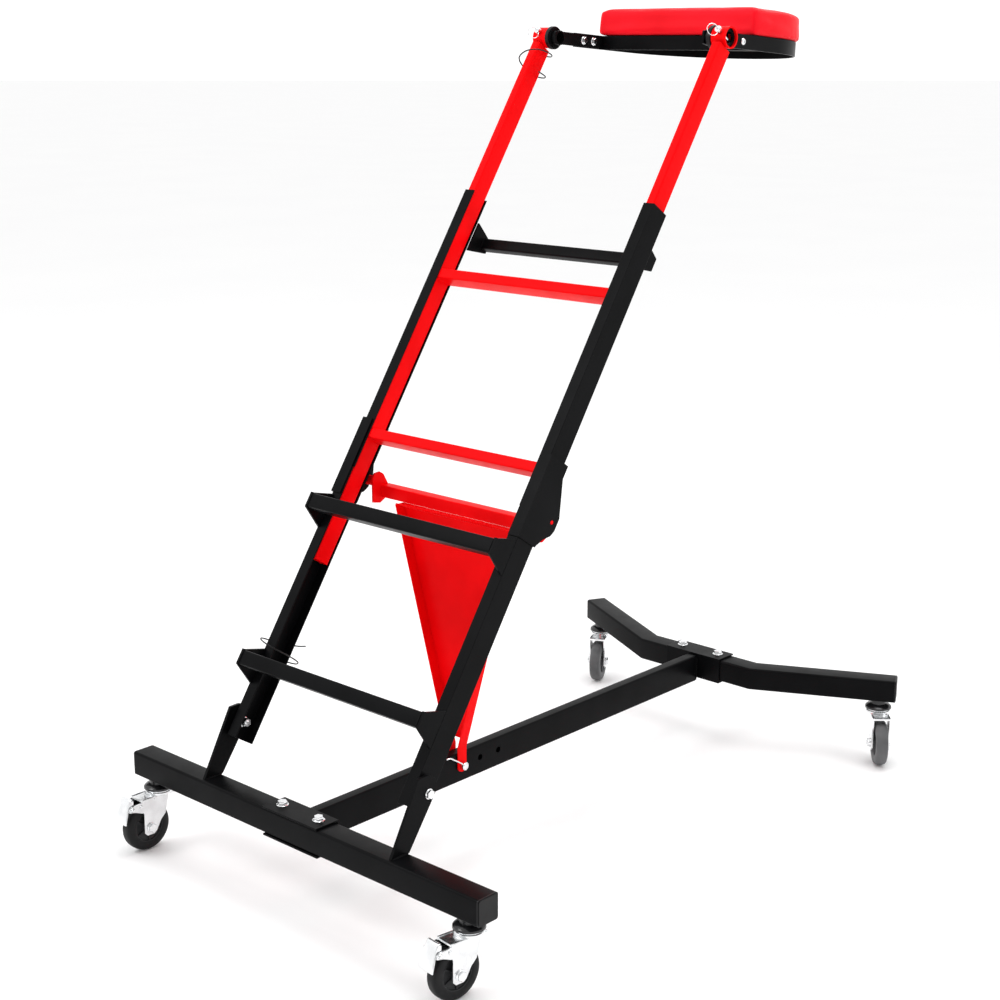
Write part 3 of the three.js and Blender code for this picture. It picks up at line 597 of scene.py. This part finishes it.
def deck_pins():
    """Hitch pins with a round head, and a pull ring on the user's side."""
    for side, sign in (("right", 1), ("left", -1)):
        bm = bmesh.new()
        m = Matrix.Translation((sign * PIN_X, DECK_B, DECK_S)) @ Matrix.Rotation(math.pi / 2, 4, "X")
        shank = [(0, -20), (2.2, -20), (3.3, -18.6), (3.3, 19), (5.0, 19), (5.5, 19.6), (5.5, 24)]
        shank += [(4.6, 25.2), (0, 25.8)]
        add_lathe(bm, shank, m, 28)
        eye = [(0, 25), (1.8, 25), (1.8, 27.4), (0, 27.4)]
        add_lathe(bm, eye, m, 16)
        hang = RING_HANG[side]
        offset = (0, -RING_R * math.sin(hang), 24.6 + RING_R * math.cos(hang))
        eye_at = Matrix.Translation((0, 0, 26.2))
        turned = eye_at @ Matrix.Rotation(RING_TURN, 4, "Y") @ eye_at.inverted()
        ring_m = LADDER_M @ m @ turned @ Matrix.Translation(offset)
        obj = piece(f"deck_pin_{side}_shank", bm, M["zinc_plate"], f"deck_pin_{side}", LADDER_M)
        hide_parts(f"deck_pin_{side}")
        turns, steps = 1.2, 60
        loop = []
        for i in range(steps + 1):
            a = 2 * math.pi * turns * i / steps
            side_step = 1.5 * (i / steps - 0.5)
            loop.append(ring_m @ Vector((side_step, RING_R * math.cos(a), RING_R * math.sin(a))))
        bevel_curve(f"deck_pin_{side}_ring", loop, 0.0006, M["zinc_plate"], f"deck_pin_{side}")


fold_bolts()
saddle_bolts()
arm_bolts()
collars()
deck_pins()


# ---- casters -----------------------------------------------------------------
def wheels():
    for name in CASTERS:
        body = f"{name}_caster_wheel"
        place = caster_frame(name) @ along_x(0, TRAIL, WHEEL_Z)
        tread = M["black_tread"] if "rear" in name else M["grey_tread"]
        bm = bmesh.new()
        half = [(25.2, 9.6), (26.4, 10.3), (28.0, 10.6), (33.0, 10.5), (36.4, 9.9), (38.2, 8.7), (39.3, 6.9),
                (39.85, 4.4), (40.0, 2.0)]
        add_lathe(bm, half + [(r, -z) for r, z in reversed(half)], None, 72)
        tyre = piece(f"{name}_caster_tyre", bm, tread, body, place)
        bm = bmesh.new()
        face = [(4.95, 10.8), (9.2, 10.8), (10.0, 10.1), (10.6, 6.6), (12.6, 6.0), (21.6, 6.0), (23.2, 6.8),
                (24.0, 9.2), (25.2, 9.6)]
        add_lathe(bm, face + [(r, -z) for r, z in reversed(face)], None, 72)
        for k in range(6):
            for z0, z1 in ((5.8, 8.4), (-8.4, -5.8)):
                turn = Matrix.Rotation(k * math.pi / 3, 4, "Z")
                add_prism(bm, [(9.8, -1.1), (23.6, -1.1), (23.6, 1.1), (9.8, 1.1)], z0, z1, turn)
        hub_material = M["hub_plastic"] if "rear" in name else tread
        piece(f"{name}_caster_hub", bm, hub_material, body, place)
        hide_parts(body)


def axle_nuts():
    """Hexagon nut and bolt head on each wheel axle."""
    for name in CASTERS:
        bm = bmesh.new()
        add_hex_head(bm, along_x(16.1, TRAIL, WHEEL_Z), 13, 5.6, 8.2)
        add_lathe(bm, [(0, 0), (3.9, 0), (3.9, 6.6), (3.2, 7.4), (0, 7.4)], along_x(16.1, TRAIL, WHEEL_Z), 24)
        add_hex_head(bm, along_x(-16.1, TRAIL, WHEEL_Z, True), 13, 5.2, 8.2)
        fork = f"{name}_caster_fork"
        piece(f"{name}_caster_axle_nuts", bm, M["zinc_plate"], fork, caster_frame(name))


def pedals():
    """Pressed foot pedal: a bulging curved plate, wider below the lugs, on two cheeks."""
    profile = [(56.2, 102.2), (59.0, 103.9), (62.0, 104.2), (64.6, 101.8), (67.0, 96.2), (69.4, 90.2),
               (71.6, 84.4), (74.2, 77.6), (76.1, 71.4), (76.5, 67.6), (75.6, 64.7),
               (73.8, 63.4), (72.5, 64.2)]
    half_width = [10.5, 12.4, 12.9, 12.9, 12.9, 13.0, 14.6, 16.0, 16.4, 16.2, 15.4, 14.0, 13.0]
    columns = 15
    cheek = [(57.4, 101.4), (56.9, 91), (58.2, 85.4), (62, 83.0), (67.4, 84.2), (69.4, 87), (64.6, 98.4),
             (62, 102.2)]
    for name in ("rear_right", "rear_left"):
        body = f"{name}_caster_pedal"
        bm = bmesh.new()
        grid = []
        for k, ((y, z), width) in enumerate(zip(profile, half_width)):
            bulge = math.sin(math.pi * min(1, k / (len(profile) - 1) * 1.1))
            row = []
            for i in range(columns):
                u = 2 * i / (columns - 1) - 1
                drop = 1.7 * abs(u) ** 3 * (0.3 + 0.7 * max(0, bulge))
                row.append(bm.verts.new((u * width, y - drop, z - 0.25 * drop)))
            grid.append(row)
        for a, b in zip(grid, grid[1:]):
            for i in range(columns - 1):
                bm.faces.new((a[i], a[i + 1], b[i + 1], b[i]))
        plate = piece(f"{body}_plate", bm, M["zinc_plate"], body, caster_frame(name))
        thick = plate.modifiers.new("thickness", "SOLIDIFY")
        thick.thickness = 0.0017
        thick.offset = -1
        plate.modifiers.move(plate.modifiers.find("thickness"), 0)
        sub = plate.modifiers.new("round", "SUBSURF")
        sub.levels = sub.render_levels = 1
        plate.modifiers.move(plate.modifiers.find("round"), 1)
        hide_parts(body)
        bm = bmesh.new()
        for x0, x1 in ((10.6, 12.6), (-12.6, -10.6)):
            add_prism(bm, cheek, x0, x1, SIDEWAYS)
        piece(f"{body}_cheeks", bm, M["zinc_plate"], body, caster_frame(name), 0.4)


def rivets():
    """Button rivets on the pedal lugs, and the folded edge of each fork's top plate."""
    button = [(0, 0), (3.0, 0), (3.0, 0.5), (2.5, 1.4), (1.4, 1.9), (0, 2.0)]
    for name in CASTERS:
        bm = bmesh.new()
        spots = [(45.5, 88.0), (62.0, 88.0)] if "rear" in name else []
        for y, z in spots:
            lift = 17.6 if y > 60 else 16.05
            for sign in (1, -1):
                add_lathe(bm, button, along_x(sign * lift, y, z, sign < 0), 20)
        lip = [(-20.6, 97.6), (42.6, 97.6), (42.6, 98.5), (-20.6, 98.5)]
        for sign in (1, -1):
            add_prism(bm, lip, sign * 14.3 - 1.6, sign * 14.3 + 1.6, SIDEWAYS)
        body = f"{name}_caster_fork"
        piece(f"{body}_trim", bm, M["zinc_plate"], body, caster_frame(name), 0.35)


def weld_bead(name, material, body, runs, radius=1.7):
    """Lumpy fillet welds along straight runs given in the row frame, in metres."""
    bm = bmesh.new()
    sides = 8
    for index, (start, end) in enumerate(runs):
        a, b = Vector(start), Vector(end)
        axis = (b - a).normalized()
        side = axis.orthogonal().normalized()
        up = axis.cross(side)
        count = max(6, int((b - a).length / 0.0011))
        rings = []
        for k in range(count + 1):
            f = k / count
            end_taper = min(1, 0.35 + 4 * min(f, 1 - f))
            ripple = 1 + 0.16 * math.sin(k * 2.1) + 0.14 * noise.noise(Vector((k * 0.37, index * 3.7, 0.5)))
            r = radius / 1000 * end_taper * ripple
            c = a.lerp(b, f)
            rings.append([
                bm.verts.new(c + side * (r * math.cos(q)) + up * (r * math.sin(q)))
                for q in (2 * math.pi * i / sides for i in range(sides))
            ])
        for p, q in zip(rings, rings[1:]):
            for i in range(sides):
                j = (i + 1) % sides
                bm.faces.new((p[i], p[j], q[j], q[i]))
        bm.faces.new(list(reversed(rings[0])))
        bm.faces.new(rings[-1])
    piece(name, bm, material, body)


def welds():
    black, red = M["black_powder_coat"], M["red_powder_coat"]
    for side, sign in (("right", 1), ("left", -1)):
        z = BAR_TOP + 0.5
        foot = [(drawn(sign * x, -13, z), drawn(sign * x, 19, z)) for x in (203.2, 208.8)]
        weld_bead(f"leg_{side}_welds", black, "base", foot)
        for step, s in (("low", 100), ("mid", 366)):
            x = sign * 193.6
            top = (lean_point(x, -61, s + 23.9), lean_point(x, -39, s + 23.9))
            front = (lean_point(x, -62.9, s + 1), lean_point(x, -62.9, s + 22))
            weld_bead(f"{step}_step_{side}_welds", black, "ladder", [top, front], 1.2)
        for rung, s in (("lower", 509.5), ("upper", 797.5)):
            x = sign * 176.8
            front = (lean_point(x, -17.4, s + 1), lean_point(x, -17.4, s + 16))
            top = (lean_point(x, -16, s + 17.1), lean_point(x, 12, s + 17.1))
            under = (lean_point(x, -16, s - 0.1), lean_point(x, 12, s - 0.1))
            runs = [front, top, under]
            weld_bead(f"{rung}_rung_{side}_welds", red, "extension", runs, 1.3)
        x = sign * 171.8
        cross = [(lean_point(x, b, 903.2), lean_point(x, b + 13, 903.2)) for b in (42,)]
        cross.append((lean_point(x, 41, 885), lean_point(x, 41, 902)))
        weld_bead(f"rear_crossbar_{side}_welds", black, "ladder", cross, 1.2)
    for end, y in (("rear", 24.4), ("front", FRONT_Y - 24.4)):
        runs = [(drawn(sign * 10.3, y, 113), drawn(sign * 10.3, y, 159)) for sign in (1, -1)]
        weld_bead(f"beam_{end}_welds", black, "base", runs, 1.5)


def strut_weld():
    """Fillet along the seam between the strut's cross tube and its panel."""
    panel = bpy.data.objects["strut_panel"]
    points = [panel.matrix_world @ v.co for v in panel.data.vertices]
    top = max(p.z for p in points)
    edge = [p for p in points if p.z > top - 0.004]
    y = min(p.y for p in edge)
    half = max(p.x for p in edge) - 0.002
    run = [((-half, y, top + 0.0019), (half, y, top + 0.0019))]
    weld_bead("strut_panel_weld", M["red_powder_coat"], "strut", run, 2.4)


wheels()
axle_nuts()
pedals()
rivets()
welds()
strut_weld()


# ---- chest pad ---------------------------------------------------------------
def pad_outline(shrink, corner, count_arc=40):
    """D outline in the deck's plan, straight edge to the user, in millimetres."""
    x = FRAME_X + PAD_GROW - shrink
    y = FRAME_Y0 - PAD_GROW + shrink
    pts = []
    for i in range(7):
        a = -math.pi / 2 + math.pi / 2 * i / 6
        pts.append((x - corner + corner * math.cos(a), y + corner + corner * math.sin(a)))
    for i in range(count_arc + 1):
        a = math.pi * i / count_arc
        pts.append((x * math.cos(a), FRAME_YC + x * math.sin(a)))
    for i in range(7):
        a = math.pi + math.pi / 2 * i / 6
        pts.append((-x + corner + corner * math.cos(a), y + corner + corner * math.sin(a)))
    return pts


def pad_blank():
    """Closed starting shape of the pad, a little smaller than its CAD solid."""
    bm = bmesh.new()
    z0 = FRAME_H / 2 + 0.6
    upper = [(2.0, z0 + PAD_T - 7.5), (4.6, z0 + PAD_T - 4.0), (11, z0 + PAD_T - 2.8)]
    levels = [(6, z0), (2.5, z0 + 3)] + upper
    loops = [[bm.verts.new((x, y, z)) for x, y in pad_outline(k, 4)] for k, z in levels]
    n = len(loops[0])
    for a, b in zip(loops, loops[1:]):
        for i in range(n):
            j = (i + 1) % n
            bm.faces.new((a[i], a[j], b[j], b[i]))
    bm.faces.new(list(reversed(loops[0])))
    bm.faces.new(loops[-1])
    bmesh.ops.recalc_face_normals(bm, faces=bm.faces)
    bm.transform(MM)
    mesh = bpy.data.meshes.new("chest_pad_cover")
    bm.to_mesh(mesh)
    bm.free()
    obj = bpy.data.objects.new("chest_pad_cover", mesh)
    bpy.context.scene.collection.objects.link(obj)
    return obj


def apply_modifiers(obj):
    deps = bpy.context.evaluated_depsgraph_get()
    mesh = bpy.data.meshes.new_from_object(obj.evaluated_get(deps))
    obj.modifiers.clear()
    old = obj.data
    obj.data = mesh
    bpy.data.meshes.remove(old)


def inflate(obj, frames=20, cap=0.0022):
    """Voxel remesh, a short pressure simulation with its movement capped, then smoothing."""
    mod = obj.modifiers.new("remesh", "REMESH")
    mod.mode = "VOXEL"
    mod.voxel_size = PAD_VOXEL
    apply_modifiers(obj)
    mesh = obj.data
    rest = [v.co.copy() for v in mesh.vertices]
    low = min(v.z for v in rest)
    group = obj.vertex_groups.new(name="held")
    group.add([i for i, v in enumerate(rest) if v.z < low + 0.004], 1.0, "REPLACE")
    cloth = obj.modifiers.new("cloth", "CLOTH")
    cloth.settings.vertex_group_mass = "held"
    cloth.settings.use_pressure = True
    cloth.settings.uniform_pressure_force = 4
    cloth.settings.mass = 0.4
    cloth.settings.tension_stiffness = 18
    cloth.settings.compression_stiffness = 18
    cloth.settings.bending_stiffness = 1.2
    cloth.settings.effector_weights.gravity = 0
    cloth.point_cache.frame_start = 1
    cloth.point_cache.frame_end = frames
    scene = bpy.context.scene
    for f in range(1, frames + 1):
        scene.frame_set(f)
    apply_modifiers(obj)
    scene.frame_set(1)
    for v, r in zip(obj.data.vertices, rest):
        step = v.co - r
        if step.length > cap:
            v.co = r + step.normalized() * cap
    smooth = obj.modifiers.new("smooth", "SMOOTH")
    smooth.factor = 0.5
    smooth.iterations = 3
    apply_modifiers(obj)


def shape_pad(obj):
    """Moves points after the simulation: panel seam lines, corner tucks and a crowned top."""
    z_low = (FRAME_H / 2 + 0.6) / 1000
    top = z_low + PAD_T / 1000
    half_x = (FRAME_X + PAD_GROW) / 1000
    y_edge = (FRAME_Y0 - PAD_GROW) / 1000
    for v in obj.data.vertices:
        x, y, z = v.co
        height = (z - z_low) / (top - z_low)
        # crowned top, higher towards the middle
        if z > top - 0.012:
            rx = min(1, abs(x) / half_x)
            ry = min(1, abs(y - (FRAME_YC + 40) / 1000) / 0.155)
            v.co.z += 0.0028 * (1 - rx ** 2) * (1 - ry ** 2)
        # vertical seam at each front corner
        side_y = y - y_edge
        corner = Vector((abs(x) - (half_x - 0.0055), side_y - 0.0055))
        if corner.length < 0.010 and 0.02 < height < 0.93:
            ang = math.atan2(corner.x, -corner.y)
            groove = math.exp(-((ang - math.pi / 4) / 0.16) ** 2)
            inward = Vector((math.copysign(1, -x), 1, 0)).normalized()
            v.co += inward * 0.0010 * groove
        # puckers where the cover is pulled under the board
        if height < 0.30 and side_y < 0.012:
            ripple = noise.noise(Vector((x * 42, 3.1, z * 16)))
            v.co.y += 0.0011 * ripple * (1 - height / 0.30)
        if height < 0.10:
            v.co.y += 0.0012 * (1 - height / 0.10) if side_y < 0.02 else 0


def corner_seams(pad, place):
    """A fine raised seam down each front corner of the pad, laid on its surface."""
    tree = BVHTree.FromPolygons([v.co for v in pad.vertices], [p.vertices for p in pad.polygons])
    low = (FRAME_H / 2 + 2.5) / 1000
    high = (FRAME_H / 2 + PAD_T - 5) / 1000
    edge = Vector(((FRAME_X + PAD_GROW) / 1000, (FRAME_Y0 - PAD_GROW) / 1000, 0))
    for side, sign in (("right", 1), ("left", -1)):
        line = []
        for i in range(15):
            z = low + (high - low) * i / 14
            start = Vector((sign * (edge.x + 0.03), edge.y - 0.03, z))
            hit = tree.ray_cast(start, Vector((-sign, 1, 0)).normalized())[0]
            if hit is not None:
                line.append(place @ (hit + Vector((-sign, 1, 0)) * 0.0001))
        if len(line) > 3:
            bevel_curve(f"chest_pad_seam_{side}", line, 0.00065, M["red_vinyl"], "deck")


def chest_pad():
    obj = pad_blank()
    inflate(obj)
    sub = obj.modifiers.new("subdivide", "SUBSURF")
    sub.levels = sub.render_levels = 1
    apply_modifiers(obj)
    shape_pad(obj)
    place = Matrix.Translation(lean_point(0, DECK_B, DECK_S)) @ Matrix.Rotation(-DECK_TILT, 4, "X")
    corner_seams(obj.data, place)
    obj.data.transform(place)
    for p in obj.data.polygons:
        p.use_smooth = True
    set_material(obj, M["red_vinyl"])
    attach(obj, "deck")
    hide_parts("chest_pad")


chest_pad()


# ---- stage -------------------------------------------------------------------
def stage():
    bm = bmesh.new()
    size = 90
    ring = [bm.verts.new((x * size, y * size, -0.0005)) for x, y in ((-1, -1), (1, -1), (1, 1), (-1, 1))]
    bm.faces.new(ring)
    mesh = bpy.data.meshes.new("floor")
    bm.to_mesh(mesh)
    bm.free()
    floor = bpy.data.objects.new("floor", mesh)
    bpy.context.scene.collection.objects.link(floor)
    set_material(floor, stage_floor("pale_floor"))


def area_light(name, place, aim, size, power):
    data = bpy.data.lights.new(name, "AREA")
    data.shape = "RECTANGLE"
    data.size, data.size_y = size
    data.energy = power
    light = bpy.data.objects.new(name, data)
    bpy.context.scene.collection.objects.link(light)
    light.location = place
    light.rotation_euler = (Vector(aim) - Vector(place)).to_track_quat("-Z", "Y").to_euler()


GREY_QUARTER = (0.62, -0.68, 0.39)
WORLD_WHITE, WORLD_GREY = 1.14, 0.66


def lights():
    world = bpy.data.worlds.new("studio")
    bpy.context.scene.world = world
    world.use_nodes = True
    tree = world.node_tree
    back = tree.nodes["Background"]
    # white, and greyer in one quarter behind and right of the user, for metal to reflect
    coord = tree.nodes.new("ShaderNodeTexCoord")
    facing = tree.nodes.new("ShaderNodeVectorMath")
    facing.operation = "DOT_PRODUCT"
    facing.inputs[1].default_value = GREY_QUARTER
    fade = tree.nodes.new("ShaderNodeMapRange")
    fade.interpolation_type = "SMOOTHSTEP"
    ends = (("From Min", 0.30), ("From Max", 0.92), ("To Min", WORLD_WHITE), ("To Max", WORLD_GREY))
    for key, value in ends:
        fade.inputs[key].default_value = value
    tree.links.new(coord.outputs["Generated"], facing.inputs[0])
    tree.links.new(facing.outputs["Value"], fade.inputs["Value"])
    tree.links.new(fade.outputs["Result"], back.inputs["Strength"])
    back.inputs["Color"].default_value = (1, 1, 1, 1)
    area_light("key", (-1.5, -2.4, 3.1), (0, 0, 0.6), (1.3, 1.3), 34)
    area_light("top", (0.3, 0.5, 3.4), (0, 0, 0.2), (1.8, 1.8), 34)
    area_light("side", (3.0, 0.6, 2.0), (0, 0, 0.6), (0.8, 1.8), 14)


stage()
lights()

bpy.context.scene.view_settings.view_transform = "Standard"
